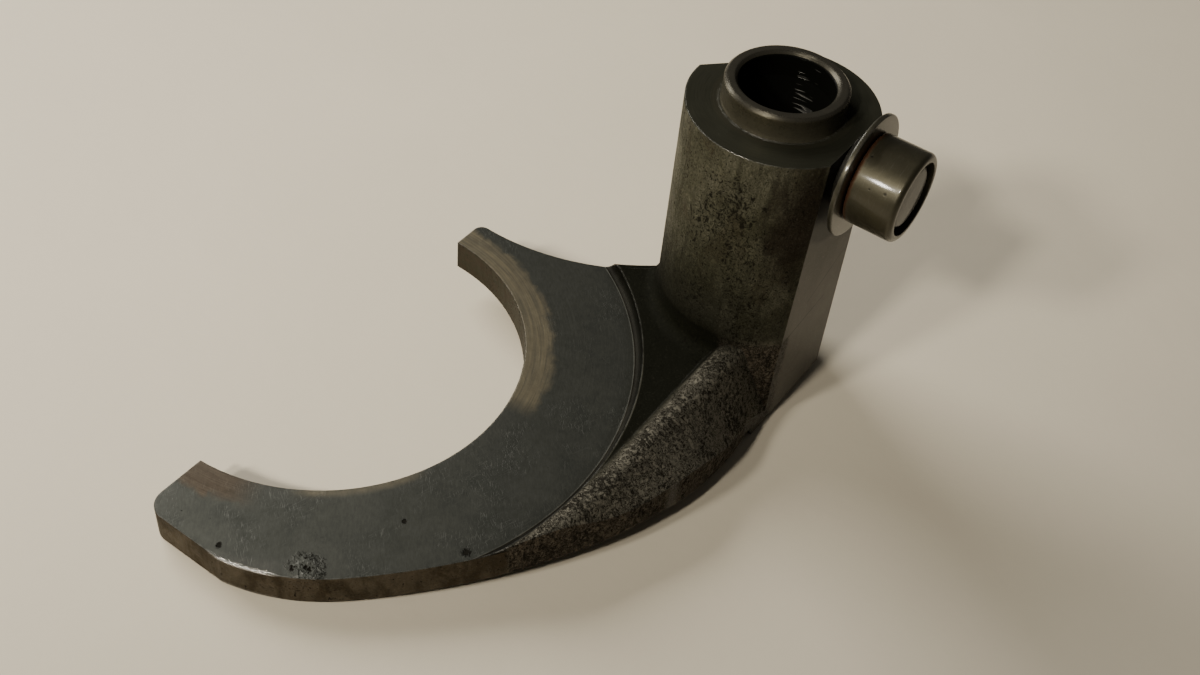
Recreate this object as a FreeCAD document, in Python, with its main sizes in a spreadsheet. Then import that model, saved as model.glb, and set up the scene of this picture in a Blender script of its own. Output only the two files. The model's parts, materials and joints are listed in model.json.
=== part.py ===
"""Selector fork with a guide roller, in millimetres.

The fork body is one forging: a round hub with a collar, a web with a rib on
it, and a horseshoe of two thin arms with turned contact pads.  A stepped pin
is pressed into a milled flat on the hub.  It carries a loose washer and a
roller that turns on it.

+Z is the axis of the bore, z = 0 is the underside of the arms, and +X points
out of the milled flat, along the roller's axis.
"""
import FreeCAD, Part
import os

import Sketcher
from FreeCAD import Placement, Rotation, Vector

doc = FreeCAD.newDocument("selector_fork")

# Driving dimensions
SIZES = {
    # Hub and bore
    "bore_radius": 7.0,
    "bore_chamfer": 0.5,
    "hub_radius": 14.1,
    "hub_top": 43.8,
    "hub_drop": 6.5,
    "collar_wall": 2.0,
    "collar_height": 3.9,
    "collar_bevel": 0.4,
    "flat_depth": 1.9,
    "root_stock": 0.5,
    "flat_runout_past": 2.7,
    "flat_runout_rise": 1.1,
    "flat_runout_length": 2.2,
    "back_flat_depth": 3.7,
    "back_flat_angle": 138.0,
    # Arms
    "fork_centre_x": -43.4,
    "fork_centre_y": -48.4,
    "mouth_radius": 29.0,
    "arm_thickness": 5.2,
    "far_arm_width": 5.9,
    "near_tip_inset": 2.0,
    "far_tip_inset": 0.3,
    "near_corner_radius": 3.0,
    "far_corner_radius": 1.5,
    "pad_radius": 46.8,
    "step_foot_round": 1.2,
    # Outer outline: the nose of the near arm, the side of the web and its bend to the hub
    "nose_shift": 9.9,
    "nose_radius": 29.8,
    "nose_trim": 0.6,
    "side_radius": 103.1,
    "side_start_angle": -45.6,
    "side_end_angle": -26.0,
    "bend_radius": 54.0,
    # Web
    "back_edge_round": 2.0,
    "hub_blend": 2.0,
    "foot_blend": 2.0,
    "back_edge_inset": 2.0,
    "back_edge_start": 8.9,
    "web_height": 7.2,
    "web_step_height": 6.8,
    "web_end_height": 5.4,
    "cut_reach": 18.0,
    "cut_past": 1.0,
    # Rib, as its crest and slopes at the hub, at the bend, halfway, at the step and at its end
    "rib_hub_y": -16.0,
    "rib_hub_height": 10.0,
    "rib_hub_crest": 6.2,
    "rib_hub_slope": 68.0,
    "rib_hub_inner": 55.0,
    "rib_bend_y": -26.0,
    "rib_bend_height": 9.2,
    "rib_bend_crest": 6.1,
    "rib_bend_slope": 51.0,
    "rib_bend_inner": 48.0,
    "rib_middle_y": -38.0,
    "rib_middle_height": 8.3,
    "rib_middle_crest": 5.9,
    "rib_middle_slope": 34.0,
    "rib_middle_inner": 34.0,
    "rib_step_y": -52.0,
    "rib_step_height": 7.3,
    "rib_step_crest": 5.0,
    "rib_step_slope": 48.0,
    "rib_step_inner": 18.0,
    "rib_end_y": -66.0,
    "rib_end_height": 5.5,
    "rib_end_crest": 0.0,
    "rib_end_slope": 4.0,
    "rib_end_inner": 4.0,
    "rib_crest_radius": 2.2,
    # Keel under the web
    "keel_inner_x": 1.0,
    "keel_shoulder_y": -14.1,
    "keel_shoulder_drop": 4.4,
    "keel_end_y": -42.0,
    "keel_shoulder_run": 1.2,
    # Front of the hub, which swells towards the rib from the top down
    "swell_angle": -58.0,
    "swell_top": 0.55,
    "swell_foot": 2.1,
    "swell_foot_height": 6.0,
    # Pin, from its journal outwards
    "roller_drop": 5.4,
    "pin_journal_radius": 4.0,
    "pin_seat_step": 0.5,
    "pin_seat_floor": 0.8,
    "pin_seat_gap": 0.1,
    "pin_shoulder_step": 1.5,
    "pin_shoulder_length": 1.6,
    "pin_head_lip": 0.65,
    "pin_head_inset": 0.35,
    "pin_head_bevel": 0.35,
    "head_clearance": 0.1,
    # Roller and washer
    "roller_clearance": 0.05,
    "roller_length": 7.6,
    "roller_wall": 1.2,
    "roller_end_round": 0.8,
    "recess_gap": 0.95,
    "recess_depth": 1.5,
    "washer_lip": 2.55,
    "washer_thickness": 0.8,
    "washer_clearance": 0.2,
    "washer_gap": 0.15,
    "washer_bevel": 0.2,
}

sheet = doc.addObject("Spreadsheet::Sheet", "sizes")
for row, (alias, value) in enumerate(SIZES.items(), start=1):
    sheet.set(f"A{row}", alias)
    sheet.set(f"B{row}", str(value))
    sheet.setAlias(f"B{row}", alias)
doc.recompute()


def evaluate(rule):
    """The number that a rule on the sheet's sizes gives."""
    value = sheet.evalExpression(rule)
    return float(getattr(value, "Value", value))


def origin_plane(body, role):
    """The body's own origin plane with this role."""
    for feature in body.Origin.OriginFeatures:
        if feature.Role == role:
            return feature
    raise ValueError(role)


def attach(sketch, body, role, offset_rule="0"):
    """Lay a sketch on an origin plane, moved along the plane's normal."""
    sketch.AttachmentSupport = [(origin_plane(body, role), "")]
    sketch.MapMode = "FlatFace"
    sketch.AttachmentOffset = Placement(Vector(0, 0, evaluate(offset_rule)), Rotation())
    sketch.setExpression("AttachmentOffset.Base.z", offset_rule)


def bind(sketch, constraint, rule):
    """Add a constraint whose value follows a rule."""
    index = sketch.addConstraint(constraint)
    sketch.setExpression(f"Constraints[{index}]", rule)


def arc_through(start, end, radius, side):
    """The short arc from start to end, with its centre on the left (1) or right (-1)."""
    chord = end - start
    middle = (start + end) * 0.5
    normal = Vector(-chord.y, chord.x, 0).normalize()
    depth = (radius ** 2 - (chord.Length / 2) ** 2) ** 0.5
    centre = middle + normal * depth * side
    crown = centre + (middle - centre).normalize() * radius
    if side < 0:
        return Part.Arc(end, crown, start)
    return Part.Arc(start, crown, end)


def profile_sketch(body, name, role, corners, offset_rule="0"):
    """A closed profile.  A corner is (x rule, y rule) and, where an arc leaves it,
    the arc's radius rule and the side that its centre lies on."""
    sketch = body.newObject("Sketcher::SketchObject", name)
    attach(sketch, body, role, offset_rule)
    points = [Vector(evaluate(corner[0]), evaluate(corner[1]), 0) for corner in corners]
    for index, corner in enumerate(corners):
        start = points[index]
        end = points[(index + 1) % len(points)]
        if len(corner) == 2:
            sketch.addGeometry(Part.LineSegment(start, end), False)
        else:
            sketch.addGeometry(arc_through(start, end, evaluate(corner[2]), corner[3]), False)
    for index, corner in enumerate(corners):
        follower = (index + 1) % len(corners)
        place = points[follower]
        sketch.addConstraint(Sketcher.Constraint(
            "Coincident", index, spot_at(sketch, index, place), follower, spot_at(sketch, follower, place)))
    for index, corner in enumerate(corners):
        start = points[index]
        spot = spot_at(sketch, index, start)
        bind(sketch, Sketcher.Constraint("DistanceX", -1, 1, index, spot, start.x), corner[0])
        bind(sketch, Sketcher.Constraint("DistanceY", -1, 1, index, spot, start.y), corner[1])
        if len(corner) > 2:
            bind(sketch, Sketcher.Constraint("Radius", index, evaluate(corner[2])), corner[2])
    return sketch


def spot_at(sketch, index, place):
    """1 or 2: the end of an edge that lies at this place."""
    edge = sketch.Geometry[index]
    return 1 if (edge.StartPoint - place).Length < (edge.EndPoint - place).Length else 2


def circle_sketch(body, name, role, x_rule, y_rule, radius_rule, offset_rule="0"):
    """A circle whose centre and radius follow rules."""
    sketch = body.newObject("Sketcher::SketchObject", name)
    attach(sketch, body, role, offset_rule)
    centre = Vector(evaluate(x_rule), evaluate(y_rule), 0)
    sketch.addGeometry(Part.Circle(centre, Vector(0, 0, 1), evaluate(radius_rule)), False)
    bind(sketch, Sketcher.Constraint("DistanceX", -1, 1, 0, 3, centre.x), x_rule)
    bind(sketch, Sketcher.Constraint("DistanceY", -1, 1, 0, 3, centre.y), y_rule)
    bind(sketch, Sketcher.Constraint("Radius", 0, evaluate(radius_rule)), radius_rule)
    return sketch


def pad(body, name, sketch, length_rule, downwards=False):
    """Extrude a sketch by a length that follows a rule."""
    feature = body.newObject("PartDesign::Pad", name)
    feature.Profile = sketch
    feature.Reversed = downwards
    feature.Length = evaluate(length_rule)
    feature.setExpression("Length", length_rule)
    doc.recompute()
    return feature


def pocket(body, name, sketch, length_rule=None, along_normal=False):
    """Cut a sketch by a length that follows a rule, or all the way where there is none."""
    volume = body.Shape.Volume
    feature = body.newObject("PartDesign::Pocket", name)
    feature.Profile = sketch
    if length_rule is None:
        feature.Type = "ThroughAll"
        feature.SideType = "Symmetric"
    else:
        feature.Reversed = along_normal
        feature.Length = evaluate(length_rule)
        feature.setExpression("Length", length_rule)
    doc.recompute()
    if body.Shape.Volume >= volume:
        raise RuntimeError(f"{name} cuts nothing")
    return feature


def round_edges(body, name, edges, radius_rule):
    """Round the named edges of the body's last feature."""
    base = body.Tip
    feature = body.newObject("PartDesign::Fillet", name)
    feature.Base = (base, edges)
    feature.Radius = evaluate(radius_rule)
    feature.setExpression("Radius", radius_rule)
    doc.recompute()
    return feature


def bevel_edges(body, name, edges, size_rule):
    """Bevel the named edges of the body's last feature."""
    base = body.Tip
    feature = body.newObject("PartDesign::Chamfer", name)
    feature.Base = (base, edges)
    feature.Size = evaluate(size_rule)
    feature.setExpression("Size", size_rule)
    doc.recompute()
    return feature


def edges_where(shape, test):
    """Names of the shape's edges that pass a test."""
    return [f"Edge{index}" for index, edge in enumerate(shape.Edges, start=1) if test(edge)]


def loft(body, name, sections, cut=False):
    """Join profiles into one smooth form, added to the body or cut from it."""
    kind = "PartDesign::SubtractiveLoft" if cut else "PartDesign::AdditiveLoft"
    feature = body.newObject(kind, name)
    feature.Profile = sections[0]
    feature.Sections = sections[1:]
    doc.recompute()
    return feature


def turn(body, name, sketch, start, end, cut=False):
    """Revolve a sketch about the line between two (x rule, y rule) points of it."""
    first = Vector(evaluate(start[0]), evaluate(start[1]), 0)
    last = Vector(evaluate(end[0]), evaluate(end[1]), 0)
    axis = sketch.addGeometry(Part.LineSegment(first, last), True)
    for spot, place in ((1, start), (2, end)):
        point = first if spot == 1 else last
        bind(sketch, Sketcher.Constraint("DistanceX", -1, 1, axis, spot, point.x), place[0])
        bind(sketch, Sketcher.Constraint("DistanceY", -1, 1, axis, spot, point.y), place[1])
    feature = body.newObject("PartDesign::Groove" if cut else "PartDesign::Revolution", name)
    feature.Profile = sketch
    feature.ReferenceAxis = (sketch, ["Axis0"])
    feature.Angle = 360
    doc.recompute()
    return feature


# Rules that more than one profile uses
FORK_X = "sizes.fork_centre_x"
FORK_Y = "sizes.fork_centre_y"
FLAT_X = "(sizes.hub_radius - sizes.flat_depth)"
COLLAR_RADIUS = "(sizes.bore_radius + sizes.collar_wall)"
COLLAR_TOP = "sizes.hub_top + sizes.collar_height"
NEAR_TIP_X = f"{FORK_X} + sizes.near_tip_inset"
FAR_TIP_X = f"{FORK_X} + sizes.far_tip_inset"
WEB_END_Y = "(0 - sizes.hub_radius / 2)"
FLAT_END_Y = "(0 - sizes.hub_radius - sizes.flat_runout_past)"
# The web's outer wall runs on into the hub, a little proud of the flat that is milled across both
ROOT_X = f"({FLAT_X} + sizes.root_stock)"

# The outer outline is three arcs, each tangent to the next
NOSE_X = f"({FORK_X} + sizes.nose_shift)"
NOSE_Y = f"({FORK_Y} - sizes.nose_shift)"
TRIM_Y = f"({NOSE_Y} - sizes.nose_radius + sizes.nose_trim)"
TRIM_END_X = f"{NOSE_X} + sqrt(sizes.nose_radius ^ 2 - (sizes.nose_radius - sizes.nose_trim) ^ 2)"
SIDE_X = f"({NOSE_X} - (sizes.side_radius - sizes.nose_radius) * cos(sizes.side_start_angle))"
SIDE_Y = f"({NOSE_Y} - (sizes.side_radius - sizes.nose_radius) * sin(sizes.side_start_angle))"
BEND_X = f"({SIDE_X} + (sizes.side_radius - sizes.bend_radius) * cos(sizes.side_end_angle))"
BEND_Y = f"({SIDE_Y} + (sizes.side_radius - sizes.bend_radius) * sin(sizes.side_end_angle))"
SIDE_START = (f"{NOSE_X} + sizes.nose_radius * cos(sizes.side_start_angle)",
              f"{NOSE_Y} + sizes.nose_radius * sin(sizes.side_start_angle)")
BEND_START = (f"{BEND_X} + sizes.bend_radius * cos(sizes.side_end_angle)",
              f"{BEND_Y} + sizes.bend_radius * sin(sizes.side_end_angle)")

# The back edge leaves the hub straight and turns into one arc along the far arm
BACK_FLAT = "(sizes.hub_radius - sizes.back_flat_depth)"
BACK_EDGE = f"({BACK_FLAT} - sizes.back_edge_inset)"
BACK_RUN_ANGLE = "(sizes.back_flat_angle - 90)"
BACK_START_X = (f"({BACK_EDGE} * cos(sizes.back_flat_angle)"
                f" - sizes.back_edge_start * cos({BACK_RUN_ANGLE}))")
BACK_START_Y = (f"({BACK_EDGE} * sin(sizes.back_flat_angle)"
                f" - sizes.back_edge_start * sin({BACK_RUN_ANGLE}))")
BACK_END_X = f"({FAR_TIP_X} + sizes.far_corner_radius)"
BACK_END_Y = f"({FORK_Y} + sizes.mouth_radius + sizes.far_arm_width)"
BACK_RADIUS = (f"((({BACK_END_X} - {BACK_START_X}) ^ 2 + ({BACK_END_Y} - {BACK_START_Y}) ^ 2)"
               f" / (2 * (({BACK_END_X} - {BACK_START_X}) * cos(sizes.back_flat_angle)"
               f" + ({BACK_END_Y} - {BACK_START_Y}) * sin(sizes.back_flat_angle))))")


def web_edge_x(y_rule):
    """Rule for the x of the outline's bend at a given y."""
    return f"{BEND_X} + sqrt(sizes.bend_radius ^ 2 - ({y_rule} - {BEND_Y}) ^ 2)"


def on_swell(along, across):
    """Rules for a point of the hub's section: along the swell and across it."""
    x_rule = f"({along}) * cos(sizes.swell_angle) - ({across}) * sin(sizes.swell_angle)"
    y_rule = f"({along}) * sin(sizes.swell_angle) + ({across}) * cos(sizes.swell_angle)"
    return x_rule, y_rule


def hub_section(body, name, swell_rule, height_rule):
    """The hub's section: a circle drawn out towards the rib."""
    radius = "sizes.hub_radius"
    return profile_sketch(body, name, "XY_Plane", [
        on_swell("0", f"0 - {radius}"),
        (*on_swell(swell_rule, f"0 - {radius}"), radius, 1),
        (*on_swell(f"{swell_rule} + {radius}", "0"), radius, 1),
        on_swell(swell_rule, radius),
        (*on_swell("0", radius), radius, 1),
        (*on_swell(f"0 - {radius}", "0"), radius, 1),
    ], height_rule)


def rib_section(body, name, y_rule, size, floor_rule):
    """The space above the web at one y: flat floor, rib flank, round crest, outer slope."""
    inner, outer, radius = f"{size}_inner", f"{size}_slope", "sizes.rib_crest_radius"
    centre_z = f"({size}_height - {radius})"
    inner_x = f"({size}_crest - {radius} * sin({inner}))"
    inner_z = f"({centre_z} + {radius} * cos({inner}))"
    outer_x = f"({size}_crest + {radius} * sin({outer}))"
    outer_z = f"({centre_z} + {radius} * cos({outer}))"
    foot_x = f"{inner_x} - ({inner_z} - ({floor_rule})) / tan({inner})"
    end_z = f"{outer_z} - (sizes.cut_reach - {outer_x}) * tan({outer})"
    far_x = "sizes.fork_centre_x - sizes.cut_reach"
    top_z = "sizes.hub_top"
    return profile_sketch(body, name, "XZ_Plane", [
        (far_x, floor_rule),
        (foot_x, floor_rule),
        (inner_x, inner_z, radius, -1),
        (outer_x, outer_z),
        ("sizes.cut_reach", end_z),
        ("sizes.cut_reach", top_z),
        (far_x, top_z),
    ], f"0 - ({y_rule})")


# Fork body
fork = doc.addObject("PartDesign::Body", "fork_body")
plan = profile_sketch(fork, "fork_plan", "XY_Plane", [
    (NEAR_TIP_X, FORK_Y),
    (NEAR_TIP_X, f"{TRIM_Y} + sizes.near_corner_radius", "sizes.near_corner_radius", 1),
    (f"{NEAR_TIP_X} + sizes.near_corner_radius", TRIM_Y),
    (TRIM_END_X, TRIM_Y, "sizes.nose_radius", 1),
    (*SIDE_START, "sizes.side_radius", 1),
    (*BEND_START, "sizes.bend_radius", 1),
    (web_edge_x(FLAT_END_Y), FLAT_END_Y),
    (ROOT_X, WEB_END_Y),
    ("0", "0"),
    (BACK_START_X, BACK_START_Y, BACK_RADIUS, -1),
    (BACK_END_X, BACK_END_Y, "sizes.far_corner_radius", 1),
    (FAR_TIP_X, f"{BACK_END_Y} - sizes.far_corner_radius"),
    (FAR_TIP_X, FORK_Y),
])
pad(fork, "web_and_arms", plan, "sizes.rib_hub_height + sizes.cut_past")

# The keel carries the rib on below the web and runs out along the arm
keel = profile_sketch(fork, "keel_plan", "XY_Plane", [
    ("sizes.keel_inner_x", "sizes.keel_end_y"),
    (web_edge_x("sizes.keel_end_y"), "sizes.keel_end_y", "sizes.bend_radius", 1),
    (web_edge_x(FLAT_END_Y), FLAT_END_Y),
    (ROOT_X, WEB_END_Y),
    ("sizes.keel_inner_x", "0"),
])
pad(fork, "keel", keel, "sizes.hub_drop", downwards=True)
runout = profile_sketch(fork, "keel_runout", "YZ_Plane", [
    ("sizes.keel_end_y - sizes.cut_past", "0 - sizes.hub_drop - sizes.cut_past"),
    ("sizes.keel_shoulder_y", "0 - sizes.hub_drop - sizes.cut_past"),
    ("sizes.keel_shoulder_y", "0 - sizes.hub_drop"),
    ("sizes.keel_shoulder_y - sizes.keel_shoulder_run", "0 - sizes.keel_shoulder_drop"),
    ("sizes.keel_end_y", "0"),
    ("sizes.keel_end_y - sizes.cut_past", "0"),
])
pocket(fork, "keel_slope", runout)

# The rib and the web's top are one smooth form, cut by what lies above them
stations = []
for place, y_rule, floor_rule in (
        ("hub", "sizes.rib_hub_y + sizes.hub_radius * 2", "sizes.web_height"),
        ("hub", "sizes.rib_hub_y", "sizes.web_height"),
        ("bend", "sizes.rib_bend_y", "sizes.web_height"),
        ("middle", "sizes.rib_middle_y", "sizes.web_height"),
        ("step", "sizes.rib_step_y", "sizes.web_step_height"),
        ("end", "sizes.rib_end_y", "sizes.web_end_height")):
    stations.append(rib_section(
        fork, f"rib_station_{len(stations)}", y_rule, f"sizes.rib_{place}", floor_rule))
loft(fork, "space_above_rib", stations, cut=True)
end_plane = profile_sketch(fork, "space_above_arm", "XZ_Plane", [
    ("sizes.fork_centre_x - sizes.cut_reach", "sizes.arm_thickness"),
    ("sizes.cut_reach", "sizes.arm_thickness"),
    ("sizes.cut_reach", "sizes.hub_top"),
    ("sizes.fork_centre_x - sizes.cut_reach", "sizes.hub_top"),
], "0 - sizes.rib_end_y")
pocket(fork, "arm_top", end_plane, "sizes.cut_reach * 3", along_normal=True)

# The web's back edge is rounded about the centre of its arc
BACK_X = f"({BACK_START_X} + {BACK_RADIUS} * cos(sizes.back_flat_angle))"
BACK_Y = f"({BACK_START_Y} + {BACK_RADIUS} * sin(sizes.back_flat_angle))"
rounding = profile_sketch(fork, "back_edge_section", "XZ_Plane", [
    (f"{BACK_X} + {BACK_RADIUS}", "sizes.web_height - sizes.back_edge_round", "sizes.back_edge_round", -1),
    (f"{BACK_X} + {BACK_RADIUS} + sizes.back_edge_round", "sizes.web_height"),
    (f"{BACK_X} + {BACK_RADIUS} + sizes.back_edge_round", "sizes.hub_top"),
    (f"{BACK_X} + {BACK_RADIUS} - sizes.back_edge_round", "sizes.hub_top"),
    (f"{BACK_X} + {BACK_RADIUS} - sizes.back_edge_round", "sizes.web_height - sizes.back_edge_round"),
], f"0 - {BACK_Y}")
turn(fork, "back_edge", rounding, (BACK_X, "0"), (BACK_X, "sizes.hub_top"), cut=True)

# Hub
hub_top = hub_section(fork, "hub_top_section", "sizes.swell_top", "sizes.hub_top")
hub_foot = hub_section(fork, "hub_foot_section", "sizes.swell_foot", "sizes.swell_foot_height")
loft(fork, "hub", [hub_top, hub_foot])
pad(fork, "hub_foot", hub_foot, "sizes.swell_foot_height + sizes.hub_drop", downwards=True)


def level_near_hub(low_rule, high_rule):
    """A test for edges between two heights that run round the hub's foot."""
    low, high = evaluate(low_rule), evaluate(high_rule)
    reach = evaluate("sizes.hub_radius + sizes.swell_foot + 0.1")

    def test(edge):
        first, last = edge.FirstParameter, edge.LastParameter
        points = [edge.valueAt(first + (last - first) * share / 4) for share in range(5)]
        level = abs(points[-1].z - points[0].z) < edge.Length / 4
        near = all(low < point.z < high and Vector(point.x, point.y, 0).Length < reach for point in points)
        return level and near
    return test


round_edges(fork, "hub_to_web", edges_where(
    fork.Shape, level_near_hub("sizes.web_height - 0.1", "sizes.web_height + 0.2")), "sizes.hub_blend")
round_edges(fork, "hub_to_underside", edges_where(fork.Shape, level_near_hub("0 - 0.01", "0.01")), "sizes.foot_blend")
collar = circle_sketch(fork, "collar_plan", "XY_Plane", "0", "0", COLLAR_RADIUS, "sizes.hub_top")
pad(fork, "collar", collar, "sizes.collar_height")

# The machined cuts: two flats, the turned pads, the mouth, the bore and the pin's seat
milling = profile_sketch(fork, "milled_flat_plan", "XY_Plane", [
    (FLAT_X, "sizes.hub_radius * 2"),
    (FLAT_X, FLAT_END_Y),
    (f"{FLAT_X} + sizes.flat_runout_rise", f"{FLAT_END_Y} - sizes.flat_runout_length"),
    ("sizes.hub_radius * 3", f"{FLAT_END_Y} - sizes.flat_runout_length"),
    ("sizes.hub_radius * 3", "sizes.hub_radius * 2"),
])
pocket(fork, "milled_flat", milling)


def on_back_flat(outwards, along):
    """Rules for a point that far from the axis towards the back flat, and along it."""
    x_rule = f"({outwards}) * cos(sizes.back_flat_angle) - ({along}) * sin(sizes.back_flat_angle)"
    y_rule = f"({outwards}) * sin(sizes.back_flat_angle) + ({along}) * cos(sizes.back_flat_angle)"
    return x_rule, y_rule


back_face = profile_sketch(fork, "back_flat_plan", "XY_Plane", [
    on_back_flat(BACK_FLAT, "0 - sizes.hub_radius"),
    on_back_flat("sizes.hub_radius * 2", "0 - sizes.hub_radius"),
    on_back_flat("sizes.hub_radius * 2", "sizes.hub_radius"),
    on_back_flat(BACK_FLAT, "sizes.hub_radius"),
])
pocket(fork, "back_flat", back_face)

recess = profile_sketch(fork, "pad_recess_section", "XZ_Plane", [
    ("sizes.fork_centre_x", "sizes.arm_thickness"),
    ("sizes.fork_centre_x + sizes.pad_radius - sizes.step_foot_round", "sizes.arm_thickness",
     "sizes.step_foot_round", 1),
    ("sizes.fork_centre_x + sizes.pad_radius", "sizes.arm_thickness + sizes.step_foot_round"),
    ("sizes.fork_centre_x + sizes.pad_radius", "sizes.hub_top"),
    ("sizes.fork_centre_x", "sizes.hub_top"),
], "0 - sizes.fork_centre_y")
turn(fork, "pad_recess", recess, ("sizes.fork_centre_x", "0"), ("sizes.fork_centre_x", "sizes.hub_top"), cut=True)

mouth = circle_sketch(fork, "mouth_plan", "XY_Plane", "sizes.fork_centre_x", "sizes.fork_centre_y",
                      "sizes.mouth_radius")
pocket(fork, "mouth", mouth)
bore = circle_sketch(fork, "bore_plan", "XY_Plane", "0", "0", "sizes.bore_radius")
pocket(fork, "bore", bore)
ROLLER_HEIGHT = "(sizes.hub_top - sizes.roller_drop)"
SEAT_RADIUS = "(sizes.pin_journal_radius - sizes.pin_seat_step)"
SEAT_DEPTH = f"{FLAT_X} - sizes.bore_radius - sizes.pin_seat_floor"
seat = circle_sketch(fork, "pin_seat_plan", "YZ_Plane", "0", ROLLER_HEIGHT, SEAT_RADIUS, FLAT_X)
pocket(fork, "pin_seat", seat, SEAT_DEPTH)


def rim(radius_rule, height_rule):
    """A test for a full circle about the bore's axis."""
    radius, height = evaluate(radius_rule), evaluate(height_rule)

    def test(edge):
        curve = edge.Curve
        return (isinstance(curve, Part.Circle) and abs(curve.Radius - radius) < 1e-4
                and abs(curve.Center.z - height) < 1e-4
                and Vector(curve.Center.x, curve.Center.y, 0).Length < 1e-4)
    return test


bevel_edges(fork, "collar_bevel", edges_where(fork.Shape, rim(COLLAR_RADIUS, COLLAR_TOP)), "sizes.collar_bevel")
bore_rims = (edges_where(fork.Shape, rim("sizes.bore_radius", COLLAR_TOP))
             + edges_where(fork.Shape, rim("sizes.bore_radius", "0 - sizes.hub_drop")))
bevel_edges(fork, "bore_bevels", bore_rims, "sizes.bore_chamfer")

# Pin, washer and roller, each turned about the pin's axis
WASHER_START = f"{FLAT_X} + sizes.pin_shoulder_length"
WASHER_END = f"{WASHER_START} + sizes.washer_thickness"
ROLLER_START = f"{WASHER_END} + sizes.washer_gap"
ROLLER_END = f"{ROLLER_START} + sizes.roller_length"
RECESS_FLOOR = f"{ROLLER_END} - sizes.recess_depth"
HEAD_START = f"{RECESS_FLOOR} + sizes.head_clearance"
HEAD_END = f"{ROLLER_END} - sizes.pin_head_inset"
PIN_START = "sizes.bore_radius + sizes.pin_seat_floor + sizes.pin_seat_gap"
HEAD_RADIUS = "sizes.pin_journal_radius + sizes.pin_head_lip"
RECESS_RADIUS = f"{HEAD_RADIUS} + sizes.recess_gap"
ROLLER_RADIUS = f"{RECESS_RADIUS} + sizes.roller_wall"
WASHER_RADIUS = f"{ROLLER_RADIUS} + sizes.washer_lip"
PIN_AXIS = (("0", ROLLER_HEIGHT), (ROLLER_END, ROLLER_HEIGHT))


def off_axis(radius_rule):
    """The height of a point that far out from the pin's axis."""
    return f"{ROLLER_HEIGHT} + {radius_rule}"


pin = doc.addObject("PartDesign::Body", "roller_pin")
pin_section = profile_sketch(pin, "pin_section", "XZ_Plane", [
    (PIN_START, ROLLER_HEIGHT),
    (PIN_START, off_axis(SEAT_RADIUS)),
    (FLAT_X, off_axis(SEAT_RADIUS)),
    (FLAT_X, off_axis("sizes.pin_journal_radius + sizes.pin_shoulder_step")),
    (WASHER_START, off_axis("sizes.pin_journal_radius + sizes.pin_shoulder_step")),
    (WASHER_START, off_axis("sizes.pin_journal_radius")),
    (HEAD_START, off_axis("sizes.pin_journal_radius")),
    (HEAD_START, off_axis(HEAD_RADIUS)),
    (f"{HEAD_END} - sizes.pin_head_bevel", off_axis(HEAD_RADIUS)),
    (HEAD_END, off_axis(f"{HEAD_RADIUS} - sizes.pin_head_bevel")),
    (HEAD_END, ROLLER_HEIGHT),
])
turn(pin, "pin_turned", pin_section, *PIN_AXIS)

washer = doc.addObject("PartDesign::Body", "thrust_washer")
WASHER_BORE = "sizes.pin_journal_radius + sizes.washer_clearance"
washer_section = profile_sketch(washer, "washer_section", "XZ_Plane", [
    (WASHER_START, off_axis(WASHER_BORE)),
    (WASHER_START, off_axis(f"{WASHER_RADIUS} - sizes.washer_bevel")),
    (f"{WASHER_START} + sizes.washer_bevel", off_axis(WASHER_RADIUS)),
    (f"{WASHER_END} - sizes.washer_bevel", off_axis(WASHER_RADIUS)),
    (WASHER_END, off_axis(f"{WASHER_RADIUS} - sizes.washer_bevel")),
    (WASHER_END, off_axis(WASHER_BORE)),
])
turn(washer, "washer_turned", washer_section, *PIN_AXIS)

roller = doc.addObject("PartDesign::Body", "guide_roller")
ROLLER_BORE = "sizes.pin_journal_radius + sizes.roller_clearance"
roller_section = profile_sketch(roller, "roller_section", "XZ_Plane", [
    (ROLLER_START, off_axis(ROLLER_BORE)),
    (ROLLER_START, off_axis(f"{ROLLER_RADIUS} - sizes.roller_end_round / 2")),
    (f"{ROLLER_START} + sizes.roller_end_round / 2", off_axis(ROLLER_RADIUS)),
    (f"{ROLLER_END} - sizes.roller_end_round", off_axis(ROLLER_RADIUS), "sizes.roller_end_round", -1),
    (ROLLER_END, off_axis(f"{ROLLER_RADIUS} - sizes.roller_end_round")),
    (ROLLER_END, off_axis(RECESS_RADIUS)),
    (RECESS_FLOOR, off_axis(RECESS_RADIUS)),
    (RECESS_FLOOR, off_axis(ROLLER_BORE)),
])
turn(roller, "roller_turned", roller_section, *PIN_AXIS)

# Every feature is checked before any piece is written
doc.recompute()
for item in doc.Objects:
    if "Invalid" in item.State or "Error" in item.State:
        raise RuntimeError(f"{item.Name} failed")
os.makedirs("parts", exist_ok=True)
pieces = [fork, pin, washer, roller]
for piece in pieces:
    piece.Placement = Placement(Vector(0, 0, 0), Rotation())
    if piece.Shape.isNull() or not piece.Shape.isValid() or len(piece.Shape.Solids) != 1:
        raise RuntimeError(f"{piece.Label} has no sound solid")
for piece in pieces:
    piece.Shape.exportStep(os.path.join("parts", f"{piece.Label}.step"))
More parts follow.
